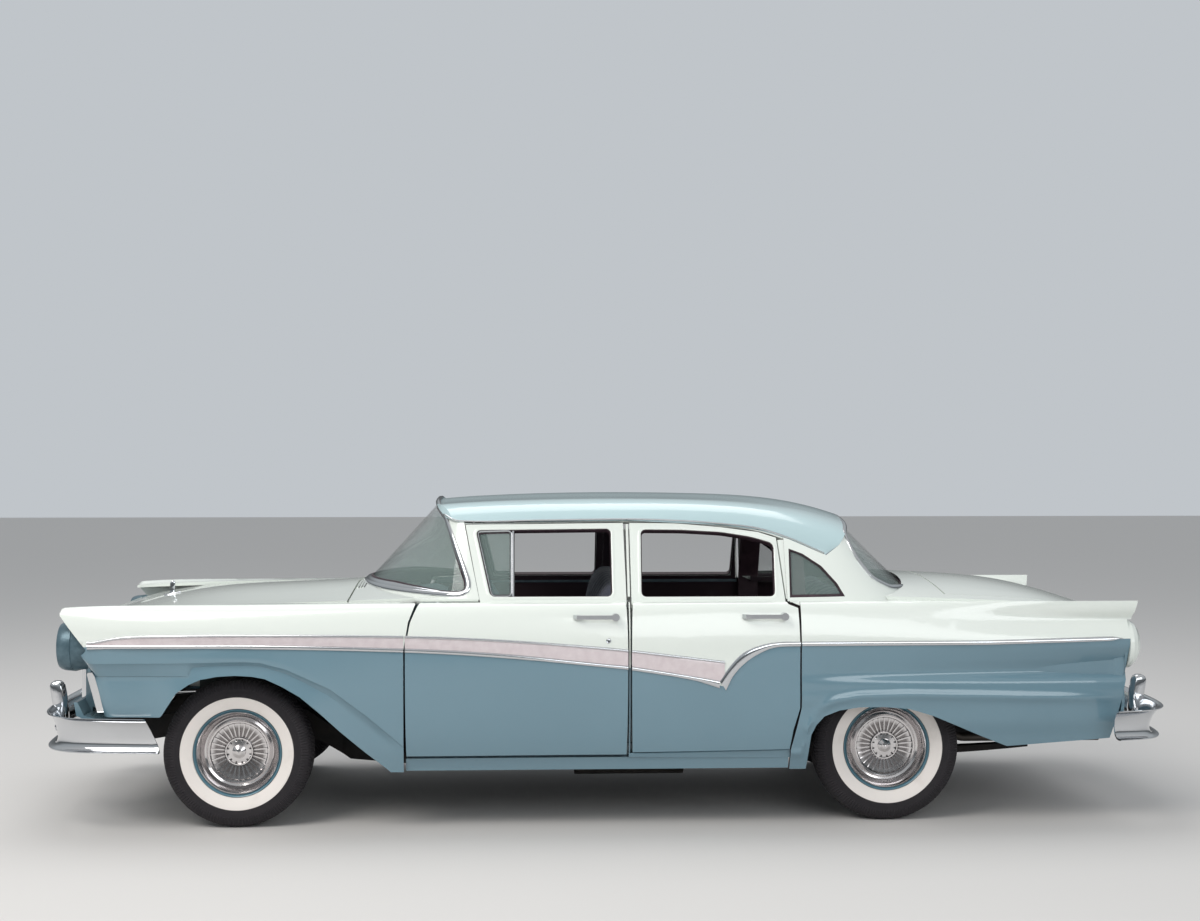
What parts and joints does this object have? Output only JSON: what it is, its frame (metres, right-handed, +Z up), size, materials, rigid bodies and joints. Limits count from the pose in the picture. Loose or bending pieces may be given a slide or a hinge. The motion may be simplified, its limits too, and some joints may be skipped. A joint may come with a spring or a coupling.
{
  "type": "four-door sedan",
  "caption": "Two-tone 1950s four-door sedan with hinged doors, hood and trunk lid, steered front wheels and rolling wheels.",
  "frame": {"origin": "on the ground under the middle of the car's overall length, in its centre plane", "axes": "+X towards the tail, +Y towards the car's right side, +Z up"},
  "size_m": [5.102, 1.974, 1.4883],
  "materials": {
    "paint_blue": "gloss blue-teal enamel",
    "paint_white": "gloss white enamel",
    "glass": "clear tinted",
    "chrome": "polished",
    "lamp_red": "moulded red lens",
    "underbody": "satin black",
    "engine_iron": "painted casting",
    "exhaust_steel": "dull",
    "upholstery": "woven blue-grey cloth",
    "dash_plastic": "satin blue-grey",
    "tyre": "black with white sidewall",
    "wheel_metal": "bright cover"
  },
  "bodies": {
    "body": {"roof": "paint_blue", "windshield_frame": "paint_white", "windshield": "glass", "rear_window": "glass", "rear_pillars": "paint_white", "quarter_windows": "glass", "front_fender_left": "paint_blue", "front_fender_right": "paint_blue", "quarter_panel_left": "paint_blue", "quarter_panel_right": "paint_blue", "cowl": "paint_white", "tail_panel": "paint_blue", "deck_panel": "paint_white", "side_frames": "paint_blue", "floor_pan": "underbody", "wheel_houses": "underbody", "chassis_frame": "underbody", "nose_panel": "paint_blue", "grille": "chrome", "headlamps": "chrome", "taillamps": "lamp_red", "front_bumper": "chrome", "rear_bumper": "chrome", "tail_pods": "paint_white", "parking_lamps": "chrome", "front_suspension": "underbody", "rear_axle": "underbody", "leaf_springs": "underbody", "engine": "engine_iron", "radiator": "engine_iron", "exhaust": "exhaust_steel", "fuel_tank": "exhaust_steel", "front_seat": "upholstery", "rear_seat": "upholstery", "dashboard": "dash_plastic"},
    "hood": {"hood": "paint_white"},
    "trunk_lid": {"trunk_lid": "paint_white"},
    "door_front_left": {"door_front_left": "paint_blue", "vent_window_left": "glass", "handle_front_left": "chrome"},
    "door_front_right": {"door_front_right": "paint_blue", "vent_window_right": "glass", "handle_front_right": "chrome"},
    "door_rear_left": {"door_rear_left": "paint_blue", "handle_rear_left": "chrome"},
    "door_rear_right": {"door_rear_right": "paint_blue", "handle_rear_right": "chrome"},
    "knuckle_left": {"knuckle_left": "underbody"},
    "knuckle_right": {"knuckle_right": "underbody"},
    "steering_wheel": {"steering_wheel": "dash_plastic"},
    "wheel_front_left": {"tyre_front_left": "tyre", "wheel_front_left": "wheel_metal"},
    "wheel_front_right": {"tyre_front_right": "tyre", "wheel_front_right": "wheel_metal"},
    "wheel_rear_left": {"tyre_rear_left": "tyre", "wheel_rear_left": "wheel_metal"},
    "wheel_rear_right": {"tyre_rear_right": "tyre", "wheel_rear_right": "wheel_metal"}
  },
  "joints": [
    {"name": "knuckle_left_steer", "type": "hinge", "parent": "body", "child": "knuckle_left", "pos_m": [-1.68, -0.65, 0.335], "axis": [0, 0, 1], "range_deg": [-30, 30]},
    {"name": "knuckle_right_steer", "type": "hinge", "parent": "body", "child": "knuckle_right", "pos_m": [-1.68, 0.65, 0.335], "axis": [0, 0, 1], "range_deg": [-30, 30]},
    {"name": "steering_wheel_turn", "type": "hinge", "parent": "body", "child": "steering_wheel", "pos_m": [-0.48, -0.37, 0.925], "axis": [-0.8601, 0, -0.5101], "range_deg": [-660, 660]},
    {"name": "wheel_front_left_spin", "type": "hinge", "parent": "knuckle_left", "child": "wheel_front_left", "pos_m": [-1.68, -0.7495, 0.335], "axis": [0, 1, 0], "continuous": true},
    {"name": "wheel_front_right_spin", "type": "hinge", "parent": "knuckle_right", "child": "wheel_front_right", "pos_m": [-1.68, 0.7495, 0.335], "axis": [0, 1, 0], "continuous": true},
    {"name": "wheel_rear_left_spin", "type": "hinge", "parent": "body", "child": "wheel_rear_left", "pos_m": [1.266, -0.7165, 0.335], "axis": [0, 1, 0], "continuous": true},
    {"name": "wheel_rear_right_spin", "type": "hinge", "parent": "body", "child": "wheel_rear_right", "pos_m": [1.266, 0.7165, 0.335], "axis": [0, 1, 0], "continuous": true},
    {"name": "door_front_left_hinge", "type": "hinge", "parent": "body", "child": "door_front_left", "pos_m": [-0.926, -0.985, 0.65], "axis": [0, 0, -1], "range_deg": [0, 65]},
    {"name": "door_front_right_hinge", "type": "hinge", "parent": "body", "child": "door_front_right", "pos_m": [-0.926, 0.985, 0.65], "axis": [0, 0, 1], "range_deg": [0, 65]},
    {"name": "door_rear_left_hinge", "type": "hinge", "parent": "body", "child": "door_rear_left", "pos_m": [0.087, -0.985, 0.65], "axis": [0, 0, -1], "range_deg": [0, 65]},
    {"name": "door_rear_right_hinge", "type": "hinge", "parent": "body", "child": "door_rear_right", "pos_m": [0.087, 0.985, 0.65], "axis": [0, 0, 1], "range_deg": [0, 65]},
    {"name": "hood_hinge", "type": "hinge", "parent": "body", "child": "hood", "pos_m": [-2.395, 0, 0.93], "axis": [0, -1, 0], "range_deg": [0, 45]},
    {"name": "trunk_lid_hinge", "type": "hinge", "parent": "body", "child": "trunk_lid", "pos_m": [1.558, 0, 1.082], "axis": [0, -1, 0], "range_deg": [0, 55]}
  ],
  "couplings": [
    {"joint": "knuckle_right_steer", "follows": "knuckle_left_steer", "ratio": 1},
    {"joint": "steering_wheel_turn", "follows": "knuckle_left_steer", "ratio": 20}
  ]
}
